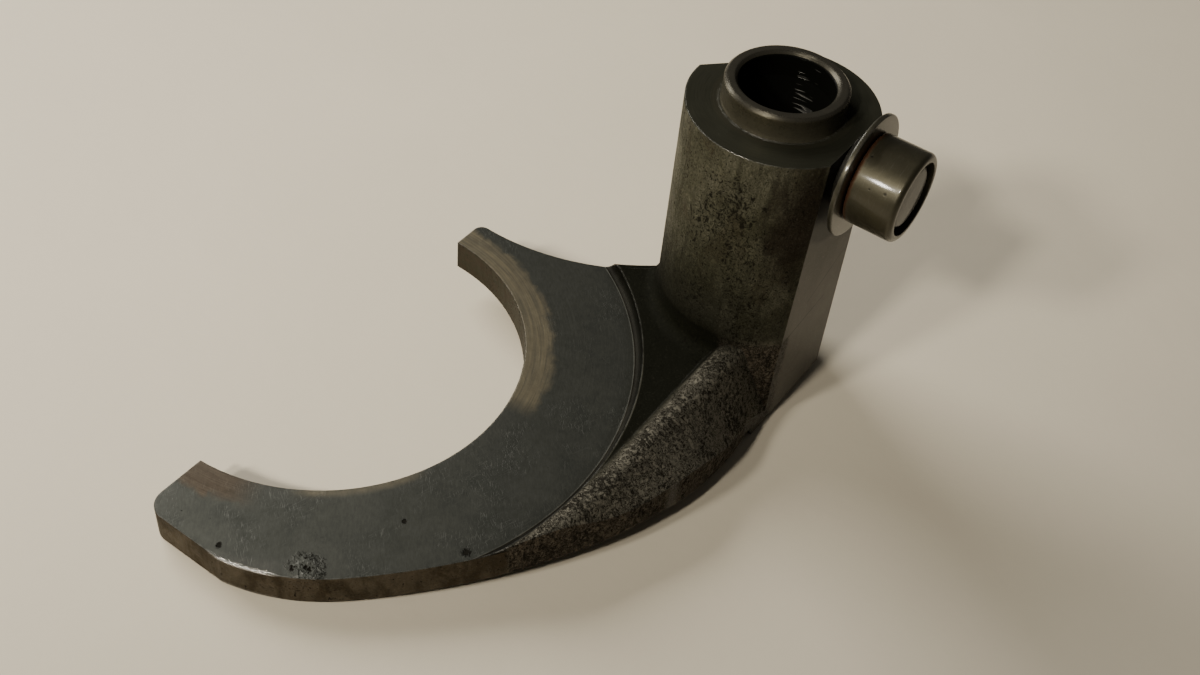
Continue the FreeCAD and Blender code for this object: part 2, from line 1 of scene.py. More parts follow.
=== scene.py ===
import json
import math
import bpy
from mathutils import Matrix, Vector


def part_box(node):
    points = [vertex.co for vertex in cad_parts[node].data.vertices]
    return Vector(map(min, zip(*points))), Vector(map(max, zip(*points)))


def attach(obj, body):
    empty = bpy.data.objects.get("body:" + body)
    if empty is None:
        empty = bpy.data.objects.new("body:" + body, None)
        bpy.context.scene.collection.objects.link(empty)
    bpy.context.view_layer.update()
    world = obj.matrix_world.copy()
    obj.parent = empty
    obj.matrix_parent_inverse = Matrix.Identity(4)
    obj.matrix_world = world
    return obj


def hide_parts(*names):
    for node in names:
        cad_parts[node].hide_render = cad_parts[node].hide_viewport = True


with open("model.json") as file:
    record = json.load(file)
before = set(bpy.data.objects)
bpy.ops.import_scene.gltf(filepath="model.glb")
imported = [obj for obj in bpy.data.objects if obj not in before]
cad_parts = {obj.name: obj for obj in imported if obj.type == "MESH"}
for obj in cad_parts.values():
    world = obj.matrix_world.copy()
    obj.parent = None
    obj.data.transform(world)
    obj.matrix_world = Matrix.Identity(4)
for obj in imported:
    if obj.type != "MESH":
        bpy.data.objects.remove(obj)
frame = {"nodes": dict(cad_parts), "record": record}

from types import SimpleNamespace

import bmesh
import bpy
from mathutils import Matrix, Vector

bl_info = {
    "name": "Selector fork",
    "version": (1, 0, 0),
    "blender": (4, 5, 0),
    "location": "View3D > Sidebar > Fork",
    "description": "Finishes and stage for a forged selector fork with a guide roller",
    "category": "Object",
}

# Millimetres to metres, and back in the shaders
MM = 0.001
PER_METRE = 1000.0
# The photograph's width in pixels, the camera's sensor in millimetres and its clipping in metres
FRAME_WIDTH = 1200
SENSOR_WIDTH = 36.0
CLIP = (0.01, 20.0)


def mount(name):
    """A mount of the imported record."""
    for entry in frame["record"]["mounts"]:
        if entry["name"] == name:
            return entry
    raise RuntimeError(f"no mount {name}")


def mount_place(name):
    """Where a mount stands, in metres."""
    return Vector(mount(name)["pos_m"])


def mount_radius(name):
    """The radius of a mount, in metres."""
    return mount(name)["dims"]["r_mm"] * MM


ROLLER_AXIS = mount_place("guide_roller")
ROLLER_LOW, ROLLER_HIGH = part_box("guide_roller")
WASHER_LOW, WASHER_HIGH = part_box("thrust_washer")
PIN_LOW, PIN_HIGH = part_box("roller_pin")
JAW = mount_place("fork_jaw")
BORE_RADIUS = mount_radius("rod_bore")

# Dents and specks on the fork, as a place and a reach in millimetres
DENTS = (
    ((-12.7, -67.6, 5.2), 0.45),
    ((-2.8, -66.3, 5.2), 0.8),
    ((-29.0, -85.9, 5.2), 0.5),
    ((6.3, -13.1, 36.4), 0.7),
    ((-1.5, -14.5, 35.3), 0.5),
    ((5.2, -13.6, 18.3), 0.6),
)
# Scores across the milled flat, as the y and z of both ends in millimetres
FLAT_SCORES = (
    ((1.9, 12.1), (-9.4, 10.7)),
    ((6.5, 19.5), (-3.5, 15.2)),
)
# Scores over the pads, as an angle in degrees, a width in millimetres and a weight
PAD_SCORES = (
    (-36.0, 0.13, 0.8),
    (-58.0, 0.11, 0.7),
    (18.0, 0.1, 0.5),
)
SCORES_KEPT = 0.38
# The way the pads were brushed, in degrees
BRUSH_ANGLE = -40.0
# A painted glint where the hub meets the rib
GLINT = (5.1, -13.7, 7.8)
# Raised scars at the near arm's outer edge
BURR = (-17.6, -81.6, 5.2)
# A reddish patch on the hub, and how much it is drawn out upwards
RUST_PATCH = (10.0, -10.2, 33.0)
RUST_SQUASH = 0.35

# Borders on the fork, each as where a mask starts and where it is whole.
# The near arm's tip and the far arm, by their bearing about the mouth's centre, in degrees
NEAR_TIP = (-64.0, -76.0)
NEAR_TIP_END = (-150.0, -140.0)
FAR_ARM = (10.0, 18.0)
# The web, by its height and its distance from the bore's axis, in millimetres
WEB_HEIGHT = (12.0, 9.5)
WEB_START = (14.2, 15.5)
# The hub's foot, painted in shade, by its height, distance and bearing from the bore's axis
SHADED_FOOT_HEIGHT = (27.0, 8.0)
SHADED_FOOT_REACH = (26.0, 15.0)
SHADED_FOOT_BEARING = (-56.0, -82.0)
# The rib's crest, as its x, and how far it bends towards the near arm over a run of y
CREST = 6.1
CREST_BEND = 7.0
BEND_RUN = (-44.0, -70.0)
# A slanted band of pits down the hub: bearing and height of its top, and degrees per millimetre
BAND_BEARING = -82.0
BAND_TOP = 36.0
BAND_SLANT = 0.87
# The stretch of the near arm's outer edge that is worn round and carries a painted highlight, by
# its bearing and its distance
SHINE_STRETCH = (-69.0, -58.5)
SHINE_START = (40.5, 41.8)
# A painted shadow of the washer on the milled flat, by its distance from the pin's axis
WASHER_SHADOW_REACH = (12.2, 11.0)

# Rays for each worn edge and for each corner that gets painted shade, and the reach of a corner in
# metres
EDGE_SAMPLES = 2
CORNER_SAMPLES = 3
CORNER_REACH = 3.2 * MM

# Turned pieces: faces over a rounded corner, the least angle of a sharp edge in degrees, and the
# radius under which a point of a profile lies on the axis
ROUND_FACES = 6
SHARP_ANGLE = 35.0
ON_AXIS = 1e-7
# Roundings of the roller's recess, and the gap between its floor and the pin's head
RECESS_RIM_ROUND = 0.12 * MM
RECESS_FOOT_ROUND = 0.1 * MM
HEAD_GAP = 0.1 * MM
# How far the rust line runs over the roller, and a start that leaves a piece free of it
RUST_LINE = 0.3
RUST_FREE = -1.0

# Low lamps in front, as a name, an azimuth and a height in degrees, and a size in metres
LAMPS = (
    ("front_lamp", -91.0, 45.0, 0.03),
    ("side_lamp", -105.0, 40.0, 0.04),
)
LAMP_DISTANCE = 0.75
LAMP_TINT = (1.0, 0.94, 0.84)
# The broad light at the left, as an azimuth and a height in degrees
WINDOW_DIRECTION = (168.0, 36.0)
WINDOW_DISTANCE = 1.0
WINDOW_SIZE = 0.6
WINDOW_TINT = (1.0, 0.97, 0.92)
# The middle of the fork on the floor, from which the lights are measured
LIT_SPOT = Vector((-0.01, -0.03, 0.0))
# The z of a normal that looks down, and how far the floor lies below the fork, in millimetres
LOOKS_DOWN = -0.9
FLOOR_GAP = 0.02
# Specks of dirt on the floor
SPECK_COLOUR = (0.1, 0.08, 0.06)


def length(label, text, default):
    """A property that holds a length."""
    return bpy.props.FloatProperty(
        name=label, description=text, default=default, precision=5,
        subtype="DISTANCE", unit="LENGTH")


def colour(label, text, default):
    """A property that holds a colour."""
    return bpy.props.FloatVectorProperty(
        name=label, description=text, default=default, subtype="COLOR", size=3, min=0.0, max=1.0)


def position(label, text, default):
    """A property that holds a place."""
    return bpy.props.FloatVectorProperty(
        name=label, description=text, default=default, subtype="TRANSLATION", unit="LENGTH", size=3)


def degrees(label, text, default):
    """A property that holds an angle, with its default given in degrees."""
    return bpy.props.FloatProperty(
        name=label, description=text, default=math.radians(default), subtype="ANGLE")


def power(label, text, default):
    """A property that holds the power of a light."""
    return bpy.props.FloatProperty(name=label, description=text, default=default, subtype="POWER")


class ForkSizes(bpy.types.PropertyGroup):
    """Where the fork's surfaces lie, for the finishes that follow them."""

    mouth_radius: length("Mouth radius", "Inner radius of the arms", 29.0 * MM)
    pad_radius: length("Pad radius", "Outer radius of the turned pads", 46.8 * MM)
    pad_height: length("Pad height", "Top of the arms", 5.2 * MM)
    worn_radius: length("Worn radius", "Outer radius of the band that the gear has worn", 33.2 * MM)
    hub_top: length("Hub top", "Height of the hub's shoulder", 43.8 * MM)
    collar_radius: length("Collar radius", "Outer radius of the collar", 9.0 * MM)
    flat_distance: length(
        "Flat distance", "Distance of the milled flat from the bore's axis", 12.2 * MM)
    edge_wear: length("Edge wear", "Width of the rounding on worn edges", 0.35 * MM)


class TurnedSizes(bpy.types.PropertyGroup):
    """Sizes of the roller, the washer and the pin's head."""

    roller_wall: length("Roller wall", "Width of the roller's end face", 1.2 * MM)
    roller_round: length("Roller end round", "Rounding of the roller's outer end", 0.8 * MM)
    roller_back_round: length("Roller back round", "Rounding of the roller's inner end", 0.4 * MM)
    recess_depth: length("Recess depth", "Depth of the recess round the pin's head", 1.5 * MM)
    journal_radius: length("Journal radius", "Radius of the pin inside the roller", 4.0 * MM)
    running_gap: length("Running gap", "Clearance between the roller and its pin", 0.05 * MM)
    shoulder_radius: length("Shoulder radius", "Radius of the pin's shoulder on the flat", 5.5 * MM)
    seat_radius: length("Seat radius", "Radius of the pin inside the hub", 3.5 * MM)
    head_radius: length("Head radius", "Radius of the pin's head", 4.65 * MM)
    head_dome: length("Head dome", "How far the pin's head is domed", 0.12 * MM)
    washer_bore: length("Washer bore", "Inner radius of the washer", 4.2 * MM)
    washer_round: length("Washer rim round", "Rounding of the washer's rim", 0.22 * MM)
    steps: bpy.props.IntProperty(
        name="Steps", description="Faces round each turned piece", default=160, min=32, max=512)


class FinishColours(bpy.types.PropertyGroup):
    """Colours of the fork's surfaces."""

    skin: colour("Forged skin", "Dark skin of the forging", (0.056, 0.054, 0.033))
    skin_light: colour("Light skin", "Paler patches of the forged skin", (0.11, 0.106, 0.073))
    skin_brown: colour("Brown skin", "Brown patches", (0.028, 0.018, 0.009))
    rust_dark: colour("Dark rust", "Dark reddish patch on the hub", (0.01, 0.0055, 0.003))
    rib: colour("Rib", "Greyer skin of the rib", (0.15, 0.139, 0.108))
    peak: colour("Peaks", "Rubbed peaks of the rough skin", (0.16, 0.145, 0.115))
    side: colour("Side walls", "Brown walls of the arms", (0.066, 0.05, 0.034))
    # Old oil, and also painted shade in hollows and corners and as the washer's shadow on the flat
    pit: colour("Pits", "Bottom of the pits", (0.006, 0.005, 0.003))
    grime_and_shade: colour("Grime", "Old oil in the corners", (0.004, 0.0042, 0.0018))
    pad: colour("Turned pads", "Machined faces of the arms", (0.055, 0.0565, 0.048))
    pad_dark: colour("Dark pads", "Stained patches of the machined faces", (0.041, 0.0428, 0.0365))
    # Lighter pad metal, which also carries the painted highlight along the near arm's rubbed edge
    pad_light: colour("Light pads", "Cleaner metal at the edges of the pads", (0.066, 0.066, 0.057))
    bronze: colour("Worn band", "Bronze tint where the gear has run", (0.25, 0.208, 0.128))
    tan: colour("Tan tip", "Reddish tan at the near arm's tip", (0.105, 0.083, 0.06))
    # Worn steel, and also the painted highlights: the glint, the near arm's edge, the shoulder's
    # front and the cuts on the bore's lit side
    bright: colour("Bright steel", "Steel that wear has polished", (0.5, 0.49, 0.45))
    flat: colour("Milled flats", "Milled faces of the hub", (0.078, 0.074, 0.064))
    shoulder: colour("Shoulder", "Turned shoulder of the hub", (0.042, 0.042, 0.029))
    collar: colour("Collar", "Turned collar of the hub", (0.066, 0.06, 0.04))
    # Painted shade: near black, laid inside the bore and on the step at the pads' rim
    bore: colour("Bore", "Inside of the bore", (0.003, 0.003, 0.0022))
    roller: colour("Roller", "Ground steel of the roller", (0.055, 0.049, 0.028))
    washer: colour("Washer", "Steel of the washer", (0.05, 0.046, 0.029))
    pin: colour("Pin", "End face of the pin", (0.03, 0.028, 0.022))
    rust: colour("Rust", "Rust line at the roller's foot", (0.1, 0.035, 0.012))


class StageSettings(bpy.types.PropertyGroup):
    """Floor, lamps and camera."""

    floor_colour: colour("Floor", "Colour of the floor", (0.745, 0.67, 0.52))
    floor_size: length("Floor size", "Side of the square floor", 4.0)
    camera_place: position("Camera place", "Where the camera stands", (0.06895, -0.15751, 0.16558))
    camera_target: position(
        "Camera target", "What the camera looks at", (-0.0081637, -0.0293113, 0.0138738))
    camera_roll: degrees("Camera roll", "Turn of the camera about its own axis", 6.4547)
    focal_pixels: bpy.props.FloatProperty(
        name="Focal length", description="Focal length in pixels of the photograph", default=1456.8)
    lamp_power: power("Lamp power", "Power of each low lamp at the front", 14.5)
    lamp_spread: degrees("Lamp spread", "Full angle of a lamp's pool of light", 45.0)
    pool_centre: position("Pool centre", "Where the lamps are aimed", (-0.16, 0.11, 0.0))
    window_power: power("Window power", "Power of the broad light at the left", 9.6)
    sky_strength: bpy.props.FloatProperty(
        name="Sky strength", description="Strength of the light from all round", default=0.05)
    sky_colour: colour("Sky", "Colour of the light from all round", (1.0, 0.965, 0.9))


class Socket:
    """A shader socket that takes part in sums."""

    def __init__(self, finish, link):
        self.finish = finish
        self.link = link

    def sum_with(self, operation, *terms):
        """A Math node on this socket and others."""
        return self.finish.node("ShaderNodeMath", {"operation": operation}, dict(enumerate(terms)))

    def __add__(self, other):
        return self.sum_with("ADD", self, other)

    __radd__ = __add__

    def __sub__(self, other):
        return self.sum_with("SUBTRACT", self, other)

    def __rsub__(self, other):
        return self.sum_with("SUBTRACT", other, self)

    def __mul__(self, other):
        return self.sum_with("MULTIPLY", self, other)

    __rmul__ = __mul__

    def __truediv__(self, other):
        return self.sum_with("DIVIDE", self, other)

    def __pow__(self, other):
        return self.sum_with("POWER", self, other)

    def clamp(self):
        """This value kept between 0 and 1."""
        return self.finish.node("ShaderNodeClamp", {}, {"Value": self})


class Finish:
    """One material and its nodes."""

    def __init__(self, name, **constants):
        self.material = bpy.data.materials.new(name)
        self.material.use_nodes = True
        self.tree = self.material.node_tree
        self.tree.nodes.clear()
        self.shader = self.tree.nodes.new("ShaderNodeBsdfPrincipled")
        ending = self.tree.nodes.new("ShaderNodeOutputMaterial")
        self.tree.links.new(self.shader.outputs[0], ending.inputs["Surface"])
        for socket, value in constants.items():
            self.shader.inputs[socket.replace("_", " ")].default_value = value

    def node(self, kind, settings, sockets, output=0):
        """Any node: its settings first, then the values or links of its sockets."""
        made = self.tree.nodes.new(kind)
        for name, value in settings.items():
            setattr(made, name, value)
        for key, value in sockets.items():
            self.feed(made.inputs[key], value)
        return Socket(self, made.outputs[output])

    def feed(self, entry, value):
        """Set a socket to a value or link it."""
        if isinstance(value, Socket):
            self.tree.links.new(value.link, entry)
        elif entry.type == "RGBA" and len(value) == 3:
            entry.default_value = (*value, 1.0)
        else:
            entry.default_value = value

    def drive(self, **values):
        """Feed the shader's own sockets."""
        for socket, value in values.items():
            self.feed(self.shader.inputs[socket.replace("_", " ")], value)

    def split(self, vector):
        """The x, y and z of a vector."""
        parts = self.tree.nodes.new("ShaderNodeSeparateXYZ")
        self.feed(parts.inputs[0], vector)
        return [Socket(self, output) for output in parts.outputs]

    def join(self, x, y, z):
        """A vector of three values."""
        return self.node("ShaderNodeCombineXYZ", {}, {0: x, 1: y, 2: z})

    def millimetres(self):
        """The place on the piece, in millimetres."""
        return self.shade(self.node("ShaderNodeTexCoord", {}, {}, "Object"), PER_METRE)

    def stretch(self, vector, x, y, z):
        """A vector with each axis scaled."""
        return self.node(
            "ShaderNodeVectorMath", {"operation": "MULTIPLY"}, {0: vector, 1: (x, y, z)})

    def turned(self, vector, angle):
        """A vector turned about Z."""
        return self.node(
            "ShaderNodeVectorRotate", {"rotation_type": "Z_AXIS"},
            {"Vector": vector, "Angle": math.radians(angle)})

    def noise(self, vector, size, detail, roughness, twist=0.0):
        """Noise with features of about that size, in millimetres."""
        return self.node("ShaderNodeTexNoise", {}, {
            "Vector": vector, "Scale": 1.0 / size, "Detail": detail, "Roughness": roughness,
            "Distortion": twist})

    def rise(self, value, start, end):
        """0 below start, 1 above end, smooth between; falls where end is less than start."""
        falling = end < start
        low, high = (end, start) if falling else (start, end)
        return self.node("ShaderNodeMapRange", {"interpolation_type": "SMOOTHSTEP"}, {
            "Value": value, "From Min": low, "From Max": high,
            "To Min": 1.0 if falling else 0.0, "To Max": 0.0 if falling else 1.0})

    def within(self, value, low, high, soft):
        """1 between two values, falling to 0 over a soft margin outside them."""
        return self.rise(value, low - soft, low) * self.rise(value, high + soft, high)

    def turn_of(self, x, y):
        """The direction of a point about an axis, in radians."""
        return self.node("ShaderNodeMath", {"operation": "ARCTAN2"}, {0: y, 1: x})

    def bearing(self, x, y):
        """The direction of a point about an axis, in degrees."""
        return self.turn_of(x, y) * math.degrees(1.0)

    def distance(self, vector, spot):
        """How far a place is from a spot, in millimetres."""
        return self.node(
            "ShaderNodeVectorMath", {"operation": "DISTANCE"}, {0: vector, 1: spot}, "Value")

    def mix(self, factor, first, second):
        """Two colours mixed."""
        sockets = {0: factor}
        for place, tint in ((6, first), (7, second)):
            sockets[place] = tint if isinstance(tint, Socket) else (*tint, 1.0)
        return self.node("ShaderNodeMix", {"data_type": "RGBA"}, sockets, 2)

    def blend(self, factor, first, second):
        """Two values mixed."""
        return self.node("ShaderNodeMix", {"data_type": "FLOAT"}, {0: factor, 2: first, 3: second})

    def shade(self, tint, factor):
        """A colour or a vector times a value."""
        return self.node("ShaderNodeVectorMath", {"operation": "SCALE"}, {0: tint, "Scale": factor})

    def pits(self, vector, spacing, kept, size):
        """Round pits scattered over the surface: 1 at the bottom of one, 0 between them."""
        settings = {"feature": "F1"}
        sockets = {"Vector": vector, "Scale": 1.0 / spacing, "Randomness": 1.0}
        away = self.node("ShaderNodeTexVoronoi", settings, sockets, "Distance")
        lot = self.split(self.node("ShaderNodeTexVoronoi", settings, sockets, "Color"))
        reach = lot[0] * lot[0] * size / spacing
        chosen = self.rise(lot[1], 1.0 - kept, 1.0 - kept + 0.02)
        return (1.0 - away / (reach + 0.02)).clamp() * chosen

    def scratches(self, vector, angle, size, kept):
        """Long thin scratches that run at an angle about Z."""
        run = self.stretch(self.turned(vector, angle), 1.0, 0.07, 0.3)
        return self.rise(self.noise(run, size, 2.0, 0.5), 1.0 - kept, 1.0 - kept + 0.05)

    def worn_edge(self, radius):
        """The rounded normal of worn edges, and how much of an edge is there."""
        rounded = self.node("ShaderNodeBevel", {"samples": EDGE_SAMPLES}, {"Radius": radius})
        plain = self.node("ShaderNodeNewGeometry", {}, {}, "Normal")
        same = self.node(
            "ShaderNodeVectorMath", {"operation": "DOT_PRODUCT"}, {0: rounded, 1: plain}, "Value")
        return rounded, self.rise(same, 0.995, 0.86)

    def openness(self, distance):
        """1 in the open, towards 0 in corners."""
        return self.node(
            "ShaderNodeAmbientOcclusion", {"samples": CORNER_SAMPLES, "only_local": True},
            {"Distance": distance}, "AO")

    def bump(self, height, normal=None):
        """A normal for heights given in millimetres."""
        sockets = {"Height": height, "Distance": MM, "Strength": 1.0}
        if normal is not None:
            sockets["Normal"] = normal
        return self.node("ShaderNodeBump", {}, sockets)


def paint(node_name, finish):
    """Give a node of the frame its finish."""
    slots = frame["nodes"][node_name].material_slots
    if not slots:
        raise RuntimeError(f"{node_name} has no slot")
    for slot in slots:
        slot.material = finish.material


def fork_places(finish, sizes):
    """Where each of the fork's surfaces lies, as values from 0 to 1."""
    at = SimpleNamespace(place=finish.millimetres())
    x, y, z = finish.split(at.place)
    at.y, at.z = y, z
    facing_x, _, facing_z = finish.split(finish.node("ShaderNodeTexCoord", {}, {}, "Normal"))
    jaw_x, jaw_y = x - JAW.x * PER_METRE, y - JAW.y * PER_METRE
    at.from_jaw = (jaw_x * jaw_x + jaw_y * jaw_y) ** 0.5
    at.round_jaw = finish.bearing(jaw_x, jaw_y)
    at.from_bore = (x * x + y * y) ** 0.5
    at.round_bore = finish.bearing(x, y)
    pad_radius, pad_height = sizes.pad_radius * PER_METRE, sizes.pad_height * PER_METRE
    mouth, top = sizes.mouth_radius * PER_METRE, sizes.hub_top * PER_METRE
    collar_radius, flat = sizes.collar_radius * PER_METRE, sizes.flat_distance * PER_METRE
    bore_radius = BORE_RADIUS * PER_METRE

    # The arms: turned pads above and below, the step at the upper pad's rim and the mouth's wall
    pad_end, step_start = pad_radius - 1.2, pad_radius - 0.9
    level = finish.rise(facing_z * facing_z, 0.6, 0.85)
    upper = finish.rise(at.from_jaw, step_start, pad_end) * finish.within(
        z, pad_height - 0.1, pad_height + 0.05, 0.1)
    lower = finish.rise(at.from_jaw, pad_radius + 0.1, pad_radius - 0.1) * finish.rise(z, 0.1, 0.05)
    at.pad = (level * (upper + lower)).clamp()
    at.step = finish.within(at.from_jaw, step_start, pad_radius + 0.02, 0.2) * finish.rise(
        z, pad_height - 0.1, pad_height)
    at.inner_wall = finish.rise(at.from_jaw, mouth + 0.06, mouth + 0.02)
    at.near_tip = finish.rise(at.round_jaw, *NEAR_TIP) * finish.rise(at.round_jaw, *NEAR_TIP_END)
    at.far_arm = finish.rise(at.round_jaw, *FAR_ARM)

    # The hub's bore, collar, shoulder and milled flat
    at.bore = finish.rise(at.from_bore, bore_radius + 0.12, bore_radius + 0.04)
    at.collar = finish.rise(at.from_bore, collar_radius + 0.1, collar_radius + 0.04) * finish.rise(
        z, top - 0.1, top + 0.02)
    at.shoulder = finish.rise(facing_z, 0.7, 0.9) * finish.rise(
        z, top - 0.1, top - 0.02) * (1.0 - at.collar)
    round_collar = finish.within(at.from_bore, collar_radius - 0.3, collar_radius + 1.2, 0.5)
    at.collar_foot = round_collar * finish.within(z, top - 0.3, top + 1.2, 0.4)
    at.milled = finish.rise(facing_x, 0.93, 0.98) * finish.within(x, flat - 0.03, flat + 0.1, 0.3)
    at.machined = (at.pad + at.step + at.collar + at.milled + at.shoulder).clamp()

    # The forged skin: rib and valley of the web, the hub, and the hub's foot, where shade is
    # painted
    web = finish.rise(at.from_jaw, pad_radius, pad_radius + 0.3) * finish.rise(
        z, *WEB_HEIGHT) * finish.rise(at.from_bore, *WEB_START)
    crest = CREST - finish.rise(y, *BEND_RUN) * CREST_BEND
    at.rib = web * finish.rise(x - crest, -3.0, -1.2)
    at.web_wall = at.rib * finish.rise(facing_z, 0.3, 0.12)
    at.valley = web * (1.0 - at.rib) * finish.rise(z, 5.3, 6.6)
    upright = (finish.rise(z, 6.0, 9.0) + finish.rise(at.from_bore, 17.5, 15.5)).clamp()
    at.hub = (1.0 - web) * upright * (1.0 - at.machined) * (1.0 - at.bore)
    at.foot = (1.0 - at.machined) * (1.0 - at.rib) * finish.rise(z, *SHADED_FOOT_HEIGHT) * finish.rise(
        at.from_bore, *SHADED_FOOT_REACH) * finish.rise(at.round_bore, *SHADED_FOOT_BEARING)
    return at


def pit_marks(finish, at, marks):
    """Pits, which crowd on the rib and in two bands down the hub, and rubbed peaks between them."""
    drift = at.round_bore - BAND_BEARING - (BAND_TOP - at.z) * BAND_SLANT
    slanted = finish.within(drift, -5.0, 5.0, 9.0) * finish.rise(at.z, BAND_TOP + 6.0, BAND_TOP)
    upright = finish.within(at.round_bore, -100.0, -91.0, 7.0) * finish.within(
        at.z, 17.0, 37.0, 6.0)
    crowd = at.hub * (slanted + upright * 0.8).clamp()
    clump = finish.noise(finish.stretch(at.place, 1.0, 1.0, 0.4), 3.4, 2.0, 0.5)
    shift = (clump - 0.5) * 0.2 + crowd * 0.06 + at.rib * 0.1 + at.hub * 0.025 - at.machined * 0.08
    holes = finish.noise(finish.stretch(at.place, 1.0, 1.0, 0.7), 0.62, 3.0, 0.6, 0.7)
    small_holes = finish.noise(at.place, 0.36, 3.0, 0.65, 0.8)
    pits = finish.rise(holes - shift, 0.34, 0.28)
    pits = pits + finish.rise(small_holes - shift, 0.35, 0.29) * 0.8
    pits = pits.clamp() * (1.0 - at.bore) * (1.0 - at.collar)

    # Thin winding lines, where a noise crosses its middle
    level_line = holes - 0.5
    worms = finish.rise(level_line * level_line, 0.0024, 0.0004) * (at.rib * 0.85 + at.hub * 0.4)
    marks.pits = (pits + worms * finish.rise(marks.mottle, 0.34, 0.5)).clamp()
    marks.peaks = finish.rise(small_holes, 0.54, 0.68)


def face_marks(finish, at, marks):
    """Turning rings, brushing, scores and dents of the machined faces, and the near arm's burr."""
    place = at.place
    grooves = finish.join(at.from_jaw, at.round_jaw * 0.02, at.z * 0.2)
    marks.grooves = finish.noise(grooves, 0.3, 2.0, 0.6)
    turning = finish.join(at.from_jaw, at.round_jaw * 0.04, at.z * 0.2)
    marks.turning = finish.noise(turning, 0.12, 1.0, 0.5)
    rings = finish.join(at.from_bore, at.z, at.round_bore * 0.01)
    marks.rings = finish.noise(rings, 0.2, 2.0, 0.5)
    cuts = finish.join(at.z, at.round_bore * 0.012, 0.0)
    marks.tool_marks = finish.noise(cuts, 0.6, 1.0, 0.5)
    brushed = finish.stretch(finish.turned(place, BRUSH_ANGLE), 1.0, 0.3, 1.0)
    marks.brushed = finish.noise(brushed, 0.35, 4.0, 0.75)
    scores = 0.0
    for angle, size, weight in PAD_SCORES:
        scores = scores + finish.scratches(place, angle, size, SCORES_KEPT) * weight
    marks.scores = (scores * finish.rise(marks.cloud, 0.42, 0.62)).clamp()
    dents = 0.0
    for spot, reach in DENTS:
        rough_reach = finish.distance(place, spot) + (marks.grain - 0.5) * reach * 2.0
        dents = dents + finish.rise(rough_reach, reach, reach * 0.4)
    marks.dents = dents.clamp()
    burr = finish.distance(place, BURR)
    marks.burr = finish.rise(burr + (marks.mottle - 0.5) * 4.0, 2.8, 1.2)


def fork_marks(finish, at, sizes):
    """The noises, pits, scratches, dents and worn edges of the fork's surfaces."""
    marks = SimpleNamespace()
    marks.cloud = finish.noise(at.place, 9.0, 4.0, 0.6, 0.4)
    marks.patch = finish.noise(finish.stretch(at.place, 1.0, 1.0, 0.45), 4.2, 4.0, 0.62, 0.6)
    marks.mottle = finish.noise(at.place, 1.3, 4.0, 0.68)
    marks.grain = finish.noise(at.place, 0.3, 3.0, 0.7)
    streak = finish.noise(finish.stretch(at.place, 1.0, 1.0, 0.07), 0.8, 3.0, 0.6)
    marks.run_down = finish.rise(streak, 0.5, 0.66)
    pit_marks(finish, at, marks)
    face_marks(finish, at, marks)

    # Edges are worn rounder along the near arm's painted highlight, and at the collar
    marks.shine = finish.within(at.round_jaw, *SHINE_STRETCH, 2.5) * finish.rise(
        at.from_jaw, *SHINE_START)
    reach = sizes.edge_wear + (marks.shine * 0.45 + at.collar_foot * 0.6 + at.collar * 0.2) * MM
    marks.rounded, marks.edge = finish.worn_edge(reach)
    # How open each place is, and the corners that get painted shade
    marks.open_sky = finish.openness(CORNER_REACH)
    marks.corner = finish.rise(marks.open_sky, 0.93, 0.55)
    return marks


def skin_tone(finish, at, marks, tints):
    """Colour of the forged skin, and how much of it gets painted shade, with old oil, in its
    hollows and corners.
    """
    tone = finish.mix(finish.rise(marks.cloud, 0.35, 0.68), tints.skin, tints.skin_light)
    tone = finish.mix(finish.rise(marks.patch, 0.5, 0.7) * 0.4, tone, tints.skin_brown)
    # Painted shade: the hub is darker towards its foot
    tone = finish.shade(tone, 1.0 - at.hub * finish.rise(at.z, 34.0, 10.0) * 0.5)
    tone = finish.mix(at.rib * (0.65 + finish.rise(at.y, -15.0, -24.0) * 0.25), tone, tints.rib)
    tone = finish.mix(at.web_wall * 0.8, tone, tints.side)
    side = (1.0 - at.hub) * (1.0 - at.rib) * finish.rise(at.z, 5.6, 5.0)
    wall = finish.mix(finish.rise(marks.patch, 0.42, 0.6), tints.side, tints.skin_brown)
    tone = finish.mix(side * 0.8, tone, wall)
    tone = finish.shade(tone, 0.45 + marks.mottle * 1.1)
    tone = finish.shade(tone, 0.6 + marks.grain * 0.8)
    tone = finish.mix(marks.run_down * at.hub * 0.25, tone, tints.grime_and_shade)
    rust_x, rust_y, rust_z = RUST_PATCH
    from_rust = finish.distance(
        finish.stretch(at.place, 1.0, 1.0, RUST_SQUASH), (rust_x, rust_y, rust_z * RUST_SQUASH))
    rusty = finish.rise(from_rust + (marks.patch - 0.5) * 8.0, 5.5, 2.0)
    tone = finish.mix(rusty * 0.85, tone, tints.rust_dark)
    # Painted shade, with old oil, in the valley, at the hub's foot and in corners
    valley_shade_and_oil = at.valley * (1.0 - finish.rise(at.y, -19.0, -6.0) * 0.3)
    hollow_shade_and_oil = (valley_shade_and_oil + at.foot * 0.96 + marks.corner * 0.6).clamp()
    tone = finish.mix(hollow_shade_and_oil * (0.99 - marks.peaks * 0.06), tone, tints.grime_and_shade)
    crests = marks.peaks * (0.14 + at.rib * 0.36) * (1.0 - hollow_shade_and_oil * 0.95)
    tone = finish.mix(crests, tone, tints.peak)
    return finish.mix(marks.pits * 0.92, tone, tints.pit), hollow_shade_and_oil


def from_pin(at):
    """How far out from the pin's axis a place on the fork lies, in millimetres."""
    rise = at.z - ROLLER_AXIS.z * PER_METRE
    return (at.y * at.y + rise * rise) ** 0.5


